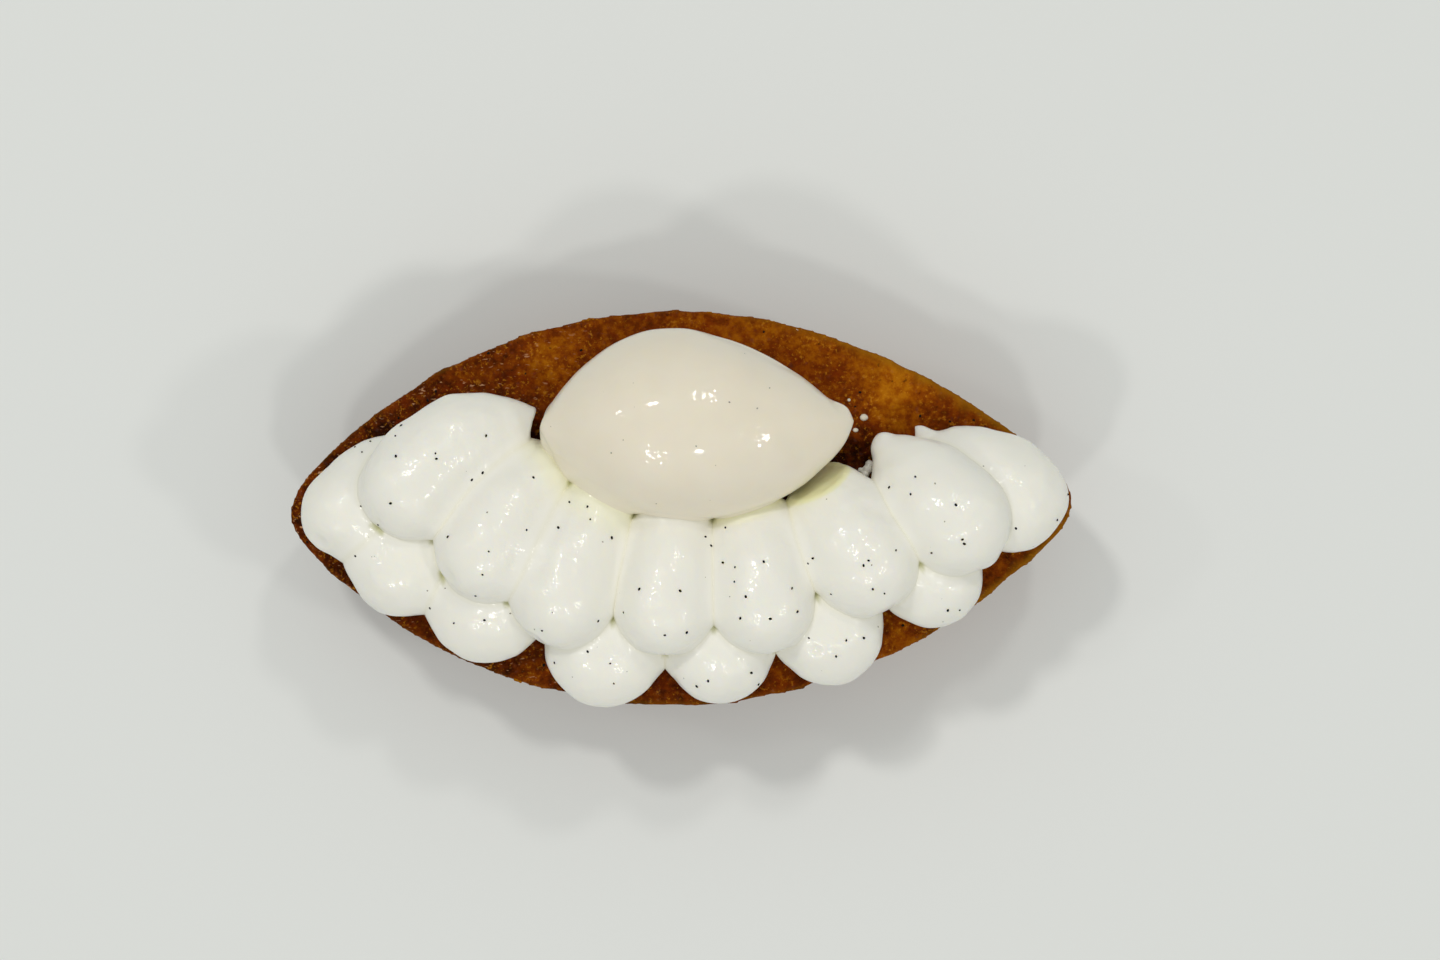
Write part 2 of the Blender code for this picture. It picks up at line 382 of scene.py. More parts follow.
def color_ramp(finish, value, stops):
    made = add(finish, "ValToRGB", Fac=value)
    elements = made.color_ramp.elements
    while len(elements) < len(stops):
        elements.new(0.5)
    for element, (place, color) in zip(elements, stops):
        element.position = place
        element.color = (*color, 1.0)
    return made.outputs["Color"]


def crust_color(finish, where):
    # The stored number is how dark the crust is, and it holds a painted shade beside the quenelle's point.
    baked_and_shade = stored(finish, "baked_and_shade")
    patches = ramp(finish, noise_of(finish, where, 130, 3.0, 0.6), 0.3, 0.7, -0.14, 0.14)
    blotches = ramp(finish, noise_of(finish, where, 620, 4.0, 0.68), 0.3, 0.7, -0.20, 0.20)
    color = color_ramp(finish, plus(finish, baked_and_shade, plus(finish, patches, blotches)), CRUST_COLORS)
    red = ramp(finish, noise_of(finish, where, 300, 3.0, 0.6), 0.5, 0.72, 0.0, 0.5)
    color = mix(finish, red, color, RED_CRUST)
    clusters = ramp(finish, noise_of(finish, where, 360), 0.40, 0.58, 0.2, 1.0)
    amber = ramp(finish, noise_of(finish, where, 1900, 3.0, 0.6), 0.54, 0.68, 0.0, 0.65)
    color = mix(finish, times(finish, amber, clusters), color, AMBER_CRUMB)
    pores = ramp(finish, noise_of(finish, where, 950), 0.32, 0.25, 0.0, 0.6)
    color = mix(finish, pores, color, PORE_COLOR)
    # The pale dashes along the cake are painted glints of wet syrup.
    along = add(finish, "Mapping", Vector=where, Scale=(0.35, 1.0, 1.0)).outputs["Vector"]
    dashes = ramp(finish, noise_of(finish, along, 1700, 2.0, 0.6), 0.63, 0.72)
    from_middle = add(finish, "SeparateXYZ", Vector=where).outputs["X"]
    left_side = ramp(finish, from_middle, PAINTED_GLINT_FROM, PAINTED_GLINT_TO, 0.8, 0.0)
    color = mix(finish, times(finish, dashes, left_side), color, PAINTED_GLINT_COLOR)
    # A golden band along the rim: a painted highlight.
    return mix(finish, stored(finish, "rim"), color, RIM_HIGHLIGHT_COLOR)


def crust_finish():
    finish, surface, where = new_finish("soaked_crust")
    fill(finish, surface, Base_Color=crust_color(finish, where), Roughness=0.5, Specular_IOR_Level=0.03)
    wet_specks = ramp(finish, noise_of(finish, where, 1300), 0.62, 0.72, 0.0, 0.4)
    fill(finish, surface, Coat_Weight=wet_specks, Coat_Roughness=0.12)
    dents = add(finish, "TexVoronoi", Vector=where, Scale=900.0).outputs["Distance"]
    soft = bump(finish, noise_of(finish, where, 700, 4.0, 0.6), 0.28 * MM)
    fill(finish, surface, Normal=bump(finish, ramp(finish, dents, 0.0, 0.45), 0.08 * MM, soft))
    return finish


crust = crust_finish()
print("made", crust.name)

# %% [markdown]
# ## The cream: colour and gloss
#
# Whipped cream is almost white, a little yellow, and light travels a millimetre or two inside it before it
# comes out. Subsurface scattering does that: it softens the shade in the creases. A plain white diffuse
# colour would look like plaster. Its skin is satin and finely wrinkled, so the highlights break up into
# sparkles. The wrinkles are given to the coat alone, because on the cream itself they would look like snow.
# Where two pieces meet, light would leave one piece and be lost inside the other, which leaves a dark line,
# so there the scattering fades out. Deep in a crease, and more in a pit where three pieces meet, the colour
# is painted darker and more yellow: that is painted shade.

# %% Cream finish
CREAM_COLOR = (0.905, 0.893, 0.815, 1.0)
# Painted shade: deep in a crease the cream is darker and more yellow.
CREASE_SHADE_COLOR = (0.87, 0.85, 0.70, 1.0)
# Ice cream stain, which under the quenelle's edge and on a facet is painted shade.
STAIN_AND_SHADE_COLOR = (0.88, 0.87, 0.45, 1.0)
# Painted shade in the pits where three pieces meet.
PIT_SHADE_COLOR = (0.50, 0.50, 0.24, 1.0)


def cream_finish():
    finish, surface, where = new_finish("whipped_cream")
    crease = stored(finish, "crease")
    # Painted shade deep in the creases.
    crease_shade = ramp(finish, crease, 0.75, 1.0, 0.0, 0.5)
    color = mix(finish, crease_shade, CREAM_COLOR, CREASE_SHADE_COLOR)
    # Ice cream stain beside the quenelle, and painted shade under its edge.
    color = mix(finish, stored(finish, "stain_and_shade"), color, STAIN_AND_SHADE_COLOR)
    # Painted shade in the pits.
    color = mix(finish, ramp(finish, stored(finish, "pit"), 0.55, 0.95, 0.0, 0.9), color, PIT_SHADE_COLOR)
    fill(finish, surface, Base_Color=color, Roughness=0.36, Specular_IOR_Level=0.3)
    depth = ramp(finish, crease, 0.1, 0.8, 0.7, 0.0)
    fill(finish, surface, Subsurface_Weight=depth, Subsurface_Radius=(1.0, 0.9, 0.66))
    folds = bump(finish, noise_of(finish, where, 420), 0.05 * MM)
    wrinkles = bump(finish, noise_of(finish, where, 1300, 0.0), 0.075 * MM, folds)
    fill(finish, surface, Subsurface_Scale=2.0 * MM, Normal=folds)
    fill(finish, surface, Coat_Weight=0.24, Coat_Roughness=0.10, Coat_Normal=wrinkles)
    return finish


cream = cream_finish()
print("made", cream.name)

# %% [markdown]
# ## The ice cream: colour and gloss
#
# The quenelle is just starting to melt: deeper in colour than the cream, with a wet skin over it. The coat
# is that skin. In a few places it is still frosted, and there a bump on the coat breaks the highlights into
# crystals. Towards its foot, over its lowest 9 mm, the colour turns a little darker.

# %% Ice cream finish
ICE_COLOR = (0.86, 0.80, 0.670, 1.0)
ICE_CLOUD_COLOR = (0.80, 0.73, 0.57, 1.0)
ICE_EDGE_COLOR = (0.74, 0.66, 0.47, 1.0)


def ice_cream_finish():
    finish, surface, where = new_finish("vanilla_ice_cream")
    edge = stored(finish, "edge")
    cloudy = ramp(finish, noise_of(finish, where, 130, 3.0, 0.5), 0.35, 0.7, 0.0, 0.22)
    color = mix(finish, cloudy, ICE_COLOR, ICE_CLOUD_COLOR)
    color = mix(finish, edge, color, ICE_EDGE_COLOR)
    fill(finish, surface, Base_Color=color, Roughness=0.40, Specular_IOR_Level=0.25)
    depth = ramp(finish, stored(finish, "crease"), 0.1, 0.8, 0.75, 0.0)
    fill(finish, surface, Subsurface_Weight=depth, Subsurface_Radius=(1.0, 0.85, 0.55))
    waves = bump(finish, noise_of(finish, where, 260), 0.05 * MM)
    crystals = times(finish, noise_of(finish, where, 1200, 0.0), stored(finish, "frost"))
    sparkles = bump(finish, crystals, 0.07 * MM, waves)
    fill(finish, surface, Subsurface_Scale=2.2 * MM, Normal=waves)
    fill(finish, surface, Coat_Weight=0.5, Coat_Roughness=0.05, Coat_Normal=sparkles)
    return finish


ice_cream = ice_cream_finish()
print("made", ice_cream.name)

# %% Seed finish


def seed_finish(name, color, roughness):
    finish, surface, where = new_finish(name)
    shade = ramp(finish, noise_of(finish, where, 4000), 0.3, 0.7, 0.6, 1.0)
    color = mix(finish, shade, (0.0, 0.0, 0.0, 1.0), (*color, 1.0))
    fill(finish, surface, Base_Color=color, Roughness=roughness, Specular_IOR_Level=0.12)
    return finish


seed_black = seed_finish("vanilla_seed", (0.006, 0.005, 0.004), 0.6)
seed_sunk = seed_finish("vanilla_seed_under_cream", (0.42, 0.40, 0.33), 0.45)
print("made", seed_black.name, "and", seed_sunk.name)

# %% [markdown]
# ## The cake
#
# The outline is two arcs that meet in two blunt tips. The block starts as a circle of points that are laid
# along the outline of the base. It is extruded up in steps and scaled out, because the mould's walls lean.
# That makes a clean boat, but a baked surface is the same all over: a voxel remesh gives it an even net of
# small faces, and displacement then makes the soft waves, the crumbs and the pores. Subdividing only the
# top keeps the face count down, as the walls need less detail.

# %% Cake outline
CAKE_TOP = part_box("cake")[1].z
CAKE_HALF_LENGTH = 62.8 * MM
CAKE_BACK = 31.7 * MM
CAKE_FRONT = 31.5 * MM
OUTLINE_POINTS = 240
TIP_ROUND = 0.35  # how much of a round end the tips take on
TIP_SPAN = 12  # how close to the tips that stays
Quarter = namedtuple("Quarter", "spread close")
BACK_LEFT = Quarter(2.10, 0.78)
BACK_RIGHT = Quarter(1.80, 0.78)
FRONT_LEFT = Quarter(2.15, 0.80)
FRONT_RIGHT = Quarter(2.00, 0.80)


def swell(t, quarter):
    """How much of its full depth a rounded outline keeps at t, from 0 in the middle to 1 at its end."""
    return (1.0 - abs(t) ** quarter.spread) ** quarter.close if abs(t) < 1.0 else 0.0


def rim_depth(x, back):
    """How far the rim is from the long axis at x."""
    t = min(1.0, abs(x) / CAKE_HALF_LENGTH)
    if back:
        quarter, depth = (BACK_RIGHT if x > 0.0 else BACK_LEFT), CAKE_BACK
    else:
        quarter, depth = (FRONT_RIGHT if x > 0.0 else FRONT_LEFT), CAKE_FRONT
    pointed = swell(t, quarter)
    round_end = math.sqrt(1.0 - t * t)
    return depth * (pointed + TIP_ROUND * t**TIP_SPAN * (round_end - pointed))


print(f"the cake is {(CAKE_BACK + CAKE_FRONT) / MM:.1f} mm deep and its top is {CAKE_TOP / MM:.1f} mm up")

# %% Cake block
# Height and inset of each ring of the wall in millimetres, from the base up.
WALL_HEIGHTS = (0.0, 0.9, 3.0, 6.5, 12.0, 18.0, 23.0, 23.7, 24.0)
WALL_INSETS = (11.0, 9.2, 7.0, 4.7, 2.6, 1.1, 0.4, 0.0, 0.5)
WALL = [(height * MM, inset * MM) for height, inset in zip(WALL_HEIGHTS, WALL_INSETS)]
BLOCK_VOXEL = 0.63 * MM
TOP_LAYER = 1.3 * MM


def shares_at(inset):
    """How much of its length and of its depth the outline keeps when it is drawn in."""
    return 1.0 - inset / CAKE_HALF_LENGTH, 1.0 - inset / CAKE_BACK


def build_cake_block():
    bpy.ops.mesh.primitive_circle_add(vertices=OUTLINE_POINTS, radius=CAKE_HALF_LENGTH, fill_type="NGON")
    block = bpy.context.object
    block.name = "crust"
    along, across = shares_at(WALL[0][1])
    for point in block.data.vertices:
        depth = rim_depth(point.co.x, point.co.y > 0.0)
        point.co = (point.co.x * along, math.copysign(depth * across, point.co.y), 0.0)
    edit(block)
    bpy.ops.mesh.select_all(action="SELECT")
    for (low, old_inset), (high, new_inset) in zip(WALL, WALL[1:]):
        bpy.ops.mesh.extrude_region_move(TRANSFORM_OT_translate={"value": (0.0, 0.0, high - low)})
        (old_along, old_across), (along, across) = shares_at(old_inset), shares_at(new_inset)
        scale(x=along / old_along, y=across / old_across)
    bpy.ops.mesh.select_all(action="SELECT")
    bpy.ops.mesh.normals_make_consistent(inside=False)
    edit(block, False)
    apply_modifier(block, "REMESH", mode="VOXEL", voxel_size=BLOCK_VOXEL, use_smooth_shade=True)
    edit(block)
    pick(lambda place: place.z > CAKE_TOP - TOP_LAYER)
    bpy.ops.mesh.subdivide(number_cuts=1)
    edit(block, False)
    return block


cake = build_cake_block()
print(f"{cake.name}: {count_triangles(cake)} triangles")

# %% [markdown]
# ## The ragged lip and the baked surface
#
# Batter creeps over the mould's edge and bakes to a thin lip with torn flakes. The lip's points are pushed
# out by a coarse noise, which makes flakes of about 7 mm, and a fine one, which tears their edges. The rest
# is modifiers: clouds of 7 mm for the waves, clouds of 1 mm for the crumbs, and dents for the pores.

# %% Ragged lip and baked surface
FLASH_DEPTH = 0.9 * MM
FLASH_PATCH = 7.0 * MM
FLASH_COVER = 0.15
TEAR_DEPTH = 0.12 * MM
TEAR_SIZE = 1.1 * MM
LIP_HEIGHT = 1.0 * MM  # the lip is this thick
LIP_REACH = 1.2 * MM  # and moves points this far in from the rim


def rim_gap(place):
    """How far inside the rim a point is, measured across the cake."""
    return rim_depth(place.x, place.y > 0.0) - abs(place.y)


def push_out_lip(obj):
    for point in obj.data.vertices:
        place = point.co
        if place.z < CAKE_TOP - LIP_HEIGHT:
            continue
        outward = Vector((place.x, place.y, 0.0))
        near_rim = max(0.0, 1.0 - max(0.0, rim_gap(place)) / LIP_REACH)
        if near_rim == 0.0 or outward.length < TINY:
            continue
        flake = FLASH_DEPTH * max(0.0, noise.noise(outward / FLASH_PATCH) + FLASH_COVER)
        tear = TEAR_DEPTH * noise.noise(place / TEAR_SIZE)
        point.co += outward.normalized() * (flake + tear) * near_rim


push_out_lip(cake)
roughen(cake, 7.0 * MM, 0.45 * MM)
roughen(cake, 0.8 * MM, 0.07 * MM, octaves=2)
roughen(cake, 1.3 * MM, 0.06 * MM, kind="VORONOI", middle=0.4)
for point in cake.data.vertices:
    point.co.z = max(0.0, point.co.z)
dress(cake, crust)
print(f"lip pushed out by up to {FLASH_DEPTH / MM:.1f} mm")

# %% [markdown]
# ## Piping one dollop
#
# A dollop starts as a ball where the nozzle stands still, the heel, and is drawn out into a tail as the
# nozzle moves off. So it is made from a ball that lies on its side with its poles along X. Its front half
# stays round. The rings of its back half are moved out one after the other, narrowed and lowered, which
# draws the tail. Where it meets the cake it is pressed flat. A curve with a taper could make the same
# shape, but its ends would be harder to shape.

# %% Pipe a dollop
DOLLOP_SEGMENTS = 32
DOLLOP_RINGS = 20
TAIL_TAPER = 1.5  # how late the tail narrows
TAIL_BLUNT = 6  # how suddenly its end closes
TAIL_FALL = 1.3  # how late it sinks towards the cake
TAIL_ROOTING = 1.0 * MM
SUNK = 0.3 * MM  # the cream is pressed this far into the crust
Dollop = namedtuple("Dollop", "x y breadth reach heading sway tail", defaults=(0.0, 0.35))
Row = namedtuple("Row", "middle crown sag tail_middle")


def add_ball(name, radius, segments, rings):
    """A ball at the origin with its poles on the X axis."""
    bpy.ops.mesh.primitive_uv_sphere_add(
        segments=segments, ring_count=rings, radius=radius, rotation=(0.0, math.pi / 2, 0.0)
    )
    ball = bpy.context.object
    ball.name = name
    settle(ball)
    return ball


def pick_ring(x):
    pick(lambda place: abs(place.x - x) < TINY)


def draw_tail(dollop, row, radius):
    """Moves the rings of the ball's back half out, the furthest one first."""
    reach = dollop.reach * MM
    for ring in range(DOLLOP_RINGS // 2):
        share = math.cos(math.pi * ring / DOLLOP_RINGS)
        full = math.sin(math.pi * ring / DOLLOP_RINGS)
        pick_ring(share * radius)
        narrowing = dollop.tail + (1 - dollop.tail) * math.cos(math.pi / 2 * share**TAIL_TAPER)
        width = narrowing * math.sqrt(max(0.0, 1 - share**TAIL_BLUNT))
        end = share * reach
        move(x=end - share * radius)
        if full > TINY:
            scale(y=width / full, z=width / full, about=(end, 0.0, 0.0))
            middle = row.middle + (row.tail_middle - row.middle) * share**TAIL_FALL
            sink = row.sag * width * (1 - share) + (middle + TAIL_ROOTING) * min(1.0, 2 * width) * share
            pick(lambda place: abs(place.x - end) < TINY and place.z < -TINY)
            scale(z=sink / (row.sag * width), about=(end, 0.0, 0.0))
            pick_ring(end)
        bow = dollop.sway * MM * 4 * share * (1 - share)
        move(y=bow, z=(row.tail_middle - row.middle) * share**TAIL_FALL)


def press_flat(obj):
    """Presses everything that would be below the top of the cake flat onto it."""
    floor_level = CAKE_TOP - SUNK
    edit(obj)
    pick(lambda place: place.z < floor_level)
    scale(z=0.0, about=(0.0, 0.0, floor_level))
    edit(obj, False)


def pipe(name, dollop, row):
    radius = dollop.breadth / 2 * MM
    ball = add_ball(name, radius, DOLLOP_SEGMENTS, DOLLOP_RINGS)
    edit(ball)
    pick(lambda place: place.z > TINY)
    scale(z=(row.crown - row.middle) / radius)
    pick(lambda place: place.z < -TINY)
    scale(z=row.sag / radius)
    draw_tail(dollop, row, radius)
    edit(ball, False)
    ball.rotation_euler.z = math.radians(dollop.heading)
    ball.location = (dollop.x * MM, dollop.y * MM, CAKE_TOP + row.middle)
    settle(ball)
    press_flat(ball)
    return ball


print("ready to pipe")

# %% [markdown]
# ## Knife cuts and pulls
#
# The first upper dollop's tail is cut off square, and the sixth one's has a flat facet towards the ice
# cream, as from the edge of a spoon. Each is one bisect of the mesh, whose far side is thrown away and
# whose hole is filled. A fine voxel remesh with a little smoothing then rounds the edge. A bevel would
# leave one large face on the cut, which can't be shaped further.
#
# A pull is one proportional move: the nearest point is picked and drawn a little way, and everything within
# the pull's reach follows less and less. Positive pulls draw out nubs, and pulls into the surface leave
# dents.

# %% Knife cuts and pulls
CUT_VOXEL = 0.35 * MM
CUT_SOFTENING = 3
Cut = namedtuple("Cut", "place facing")
Pull = namedtuple("Pull", "x y z reach dx dy dz", defaults=(0.0,))
Bulb = namedtuple("Bulb", "x y z reach factor")


def knife(obj, cut):
    """Cuts a side off flat. The operator clamps each number of a normal to 1, so a unit one is given."""
    edit(obj)
    bpy.ops.mesh.select_all(action="SELECT")
    facing = Vector(cut.facing).normalized()
    bpy.ops.mesh.bisect(plane_co=Vector(cut.place) * MM, plane_no=facing, use_fill=True, clear_outer=True)
    edit(obj, False)
    apply_modifier(obj, "REMESH", mode="VOXEL", voxel_size=CUT_VOXEL)
    apply_modifier(obj, "SMOOTH", factor=0.5, iterations=CUT_SOFTENING)


def draw_out(obj, pulls):
    edit(obj)
    for pull in pulls:
        pick_nearest(Vector((pull.x, pull.y, pull.z)) * MM)
        move(pull.dx * MM, pull.dy * MM, pull.dz * MM, soft_reach=pull.reach * MM)
    edit(obj, False)


def swell_end(obj, bulb):
    """Swells the end of a tail into a small knob, as the nozzle leaves it when it lets go."""
    centre = Vector((bulb.x, bulb.y, bulb.z)) * MM
    edit(obj)
    pick_nearest(centre)
    bpy.ops.transform.resize(
        value=(bulb.factor,) * 3,
        center_override=centre,
        use_proportional_edit=True,
        proportional_edit_falloff="SMOOTH",
        proportional_size=bulb.reach * MM,
    )
    edit(obj, False)


def dent(obj, place, reach, depth):
    """Presses one place in along its own normal."""
    edit(obj)
    _, normal = pick_nearest(Vector(place) * MM)
    inward = -normal * depth * MM
    move(*inward, soft_reach=reach * MM)
    edit(obj, False)


# %% [markdown]
# ## The two rows
#
# The lower row runs along the edge, and the upper row is piped over it, each dollop in the gap between two.
# Every one is a little different, as piped by hand: the places, breadths and headings are read off the
# picture.

# %% Two rows of cream
LOWER = Row(5.8 * MM, 12.8 * MM, 7.0 * MM, 3.2 * MM)
UPPER = Row(12.2 * MM, 19.4 * MM, 9.5 * MM, 7.0 * MM)
LOWER_ROW = (
    Dollop(-52.8, 0.4, 14.9, 16.0, 45),
    Dollop(-44.4, -8.1, 16.6, 16.0, 60),
    Dollop(-31.0, -14.4, 19.3, 18.0, 67),
    Dollop(-12.4, -21.8, 19.2, 18.0, 77),
    Dollop(5.6, -22.6, 17.2, 18.0, 91),
    Dollop(23.1, -20.1, 17.0, 18.0, 105),
    Dollop(39.7, -11.7, 16.2, 17.0, 121),
    Dollop(52.4, 0.6, 17.3, 18.4, 142, 0.7, 0.12),
)
UPPER_ROW = (
    Dollop(-41.6, 4.1, 16.6, 23.5, 27.5, 2.8, 0.32),
    Dollop(-30.3, -6.0, 16.0, 19.8, 57, 0.6, 0.62),
    Dollop(-18.6, -13.4, 16.0, 21.0, 69, 0.4, 0.60),
    Dollop(-2.7, -15.3, 15.4, 19.6, 83, 0.0, 0.62),
    Dollop(12.7, -15.1, 15.8, 19.6, 97, 0.0, 0.55),
    Dollop(28.5, -9.0, 16.9, 17.5, 116, 0.6, 0.62),
    Dollop(43.3, -2.7, 17.0, 18.0, 131, 0.4, 0.27),
)
CUTS = {
    "cream_upper_1": Cut((-22.4, 15.7, 33.0), (4.90, -1.85, -0.70)),
    "cream_upper_6": Cut((22.4, 2.6, 37.0), (-0.46, 0.865, 0.36)),
}
BULBS = {
    "cream_upper_7": Bulb(31.9, 9.9, 31.0, 3.6, 1.4),
    "cream_lower_8": Bulb(38.6, 11.4, 27.3, 3.2, 1.8),
}
PULLS = {
    "cream_upper_1": (Pull(-44.6, 12.4, 36.0, 6.0, -0.5, 0.7),),
    "cream_upper_7": (
        Pull(30.3, 9.3, 31.0, 2.6, -0.3, 0.0),
        Pull(47.8, -9.0, 34.0, 4.0, 0.6, -0.5),
    ),
    "cream_lower_8": (
        Pull(41.2, 12.0, 27.5, 3.0, -0.3, -0.5),
        Pull(54.5, 8.8, 29.5, 5.0, 0.5, 0.6),
        Pull(60.4, 1.5, 30.0, 6.0, 0.4, 0.0),
    ),
}
DENTS = {
    "cream_lower_1": (((-57.1, -4.6, 34.0), 2.0, 0.45),),
    "cream_upper_1": (((-47.5, -1.8, 39.0), 1.6, 0.30),),
    "cream_upper_2": (((-36.5, -9.9, 40.0), 1.8, 0.35), ((-29.6, -13.6, 36.0), 1.6, 0.30)),
    "cream_upper_3": (((-22.9, -19.4, 37.5), 2.2, 0.55),),
    "cream_lower_6": (((21.0, -22.6, 36.5), 1.5, 0.25),),
}
SAG_WAVES = (6.0 * MM, 0.55 * MM)

dollops = {}
for row_name, row, places in (("lower", LOWER, LOWER_ROW), ("upper", UPPER, UPPER_ROW)):
    for number, place in enumerate(places, start=1):
        node = f"cream_{row_name}_{number}"
        piped = pipe(f"dollop_{row_name}_{number}", place, row)
        apply_modifier(piped, "SUBSURF", levels=2, render_levels=2)
        if node in CUTS:
            knife(piped, CUTS[node])
        if node in BULBS:
            swell_end(piped, BULBS[node])
        draw_out(piped, PULLS.get(node, ()))
        roughen(piped, *SAG_WAVES)
        dollops[node] = piped
print(f"piped {len(dollops)} dollops, {sum(map(count_triangles, dollops.values()))} triangles")

# %% [markdown]
# ## The quenelle
#
# Two spoons turn the ice cream into an egg with a rounded end and a pointed one. It starts as a ball too.
# Its rings are stretched to the length, and each ring's back, front, top and underside are scaled by their
# own curve, because the widest place lies left of the middle. It rests on a flat. Melting has drawn its
# left end out into a foot, and the spoon left a thin lip at the point and an edge along the back.

# %% Quenelle
QUENELLE_CENTRE = Vector((2.9 * MM, 12.95 * MM, CAKE_TOP + 13.2 * MM))
QUENELLE_HALF_LENGTH = 24.5 * MM
QUENELLE_SEGMENTS = 56
QUENELLE_RINGS = 40
Flank = namedtuple("Flank", "depth crest left right")
BACK_FLANK = Flank(15.3 * MM, -0.17, Quarter(2.00, 0.80), Quarter(1.80, 0.90))
FRONT_FLANK = Flank(14.7 * MM, -0.06, Quarter(2.10, 0.75), Quarter(2.15, 0.70))
RIDGE_FLANK = Flank(12.6 * MM, -0.10, Quarter(2.10, 0.62), Quarter(1.90, 0.70))
UNDERSIDE_FLANK = RIDGE_FLANK._replace(depth=14.6 * MM)
QUENELLE_PULLS = (
    Pull(-21.0, 10.8, 34.0, 4.0, -1.1, -0.6),
    Pull(-20.4, 16.0, 34.0, 3.5, -0.7, 0.1),
    Pull(26.0, 14.8, 37.2, 3.5, 0.6, 0.6),
    Pull(24.4, 14.6, 38.0, 2.3, 0.0, 0.0, -0.5),
)
SPOON_EDGE = 0.9 * MM  # how far the back bulges into an edge
SPOON_EDGE_SPAN = (2.0 * MM, 24.0 * MM)
SPOON_EDGE_WIDTH = 3.0 * MM


def flank_depth(t, flank):
    """The depth of one side of the quenelle at t, whose widest place, the crest, isn't in the middle."""
    if t < flank.crest:
        return flank.depth * swell((flank.crest - t) / (flank.crest + 1.0), flank.left)
    return flank.depth * swell((t - flank.crest) / (1.0 - flank.crest), flank.right)


def shape_ring(x, full, t):
    """Scales the four sides of one ring of the ball to their own depths."""
    sides = ((1, 1, BACK_FLANK), (1, -1, FRONT_FLANK), (2, 1, RIDGE_FLANK), (2, -1, UNDERSIDE_FLANK))
    for side, sign, flank in sides:
        pick(lambda place: abs(place.x - x) < TINY and place[side] * sign > TINY)
        factor = flank_depth(t, flank) / full
        scale(y=factor if side == 1 else 1.0, z=factor if side == 2 else 1.0)


def build_quenelle():
    egg = add_ball("quenelle_ice_cream", QUENELLE_HALF_LENGTH, QUENELLE_SEGMENTS, QUENELLE_RINGS)
    edit(egg)
    for ring in range(1, QUENELLE_RINGS):
        t = math.cos(math.pi * ring / QUENELLE_RINGS)
        full = QUENELLE_HALF_LENGTH * math.sin(math.pi * ring / QUENELLE_RINGS)
        shape_ring(t * QUENELLE_HALF_LENGTH, full, t)
    edit(egg, False)
    egg.location = QUENELLE_CENTRE
    settle(egg)
    press_flat(egg)
    apply_modifier(egg, "SUBSURF", levels=2, render_levels=2)
    draw_out(egg, QUENELLE_PULLS)
    return egg


def pinch_back_edge(egg):
    """Draws the back in above and below its middle height, which leaves an edge there, as a spoon does."""
    start, end = SPOON_EDGE_SPAN
    for point in egg.data.vertices:
        along = (point.co.x - start) / (end - start)
        aside = abs(point.co.z - QUENELLE_CENTRE.z) / SPOON_EDGE_WIDTH
        if point.co.y > QUENELLE_CENTRE.y and 0.0 < along < 1.0:
            fade = math.sin(math.pi * along)
            point.co.y -= SPOON_EDGE * fade * (aside * math.exp(1.0 - aside)) * 0.5


quenelle = build_quenelle()
pinch_back_edge(quenelle)
roughen(quenelle, 11.0 * MM, 0.8 * MM)
roughen(quenelle, 2.5 * MM, 0.08 * MM)
dress(quenelle, ice_cream)
print(f"{quenelle.name}: {count_triangles(quenelle)} triangles")

# %% [markdown]
# ## Letting the cream flow together
#
# Soft cream that is piped against cream doesn't keep a sharp crease: it flows together a little. The lift
# below is that of a smooth union of two solids. Where two surfaces meet, each is raised by a quarter of the
# reach or more, by how steeply they meet, and the lift fades to nothing at the reach. The pieces stay
# separate, but the crease between them is rounded.

# %% Flow together
CREAM_FLOW = 3.4 * MM
ROW_FLOW = 1.9 * MM  # the upper row lies on the lower one with a sharper edge
CREAM_FLOW_VARIES = 0.7  # some creases are filled more than others
FLOW_PATCH = 9.0 * MM
ICE_FLOW = 1.5 * MM
ICE_FLOW_AT = {
    "cream_upper_1": 0.3 * MM,
    "cream_upper_2": 7.0 * MM,
    "cream_upper_3": 5.0 * MM,
    "cream_upper_4": 2.0 * MM,
    "cream_upper_6": 0.8 * MM,
}
FOOT_END = 10.0 * MM  # the foot ends this far back
FOOT_FADE = 4.0 * MM
STEEPEST = 1.25
SKIN_WAVES = (2.2 * MM, 0.14 * MM)


def tree_of(pieces):
    """One search tree over several pieces."""
    points, faces = [], []
    for piece in pieces:
        start = len(points)
        points.extend(point.co.copy() for point in piece.data.vertices)
        faces.extend([start + i for i in face.vertices] for face in piece.data.polygons)
    return BVHTree.FromPolygons(points, faces)


def box_meets(one, other, margin):
    """Whether two pieces' boxes come within a margin of each other."""
    for axis in range(3):
        ones, others = ([corner[axis] for corner in piece.bound_box] for piece in (one, other))
        if min(ones) - margin > max(others) or min(others) - margin > max(ones):
            return False
    return True


def lift_at(place, facing, tree, reach):
    """How far a point is raised. The steeper the two surfaces meet, the more it takes to level the crease."""
    _, other_facing, _, distance = tree.find_nearest(place, reach)
    if distance is None:
        return 0.0
    steepness = min(STEEPEST, 2.0 / max(TINY, 1.0 + facing.dot(other_facing)))
    return steepness * reach / 4 * (1.0 - distance / reach) ** 2


def ice_flow_reach(node, place):
    """How far the ice cream and one dollop feel each other. The foot has melted into two of the dollops."""
    reach = ICE_FLOW_AT.get(node, ICE_FLOW)
    beside_foot = min(1.0, max(0.0, (FOOT_END - place.y) / FOOT_FADE))
    return min(reach, ICE_FLOW) + max(0.0, reach - ICE_FLOW) * beside_foot


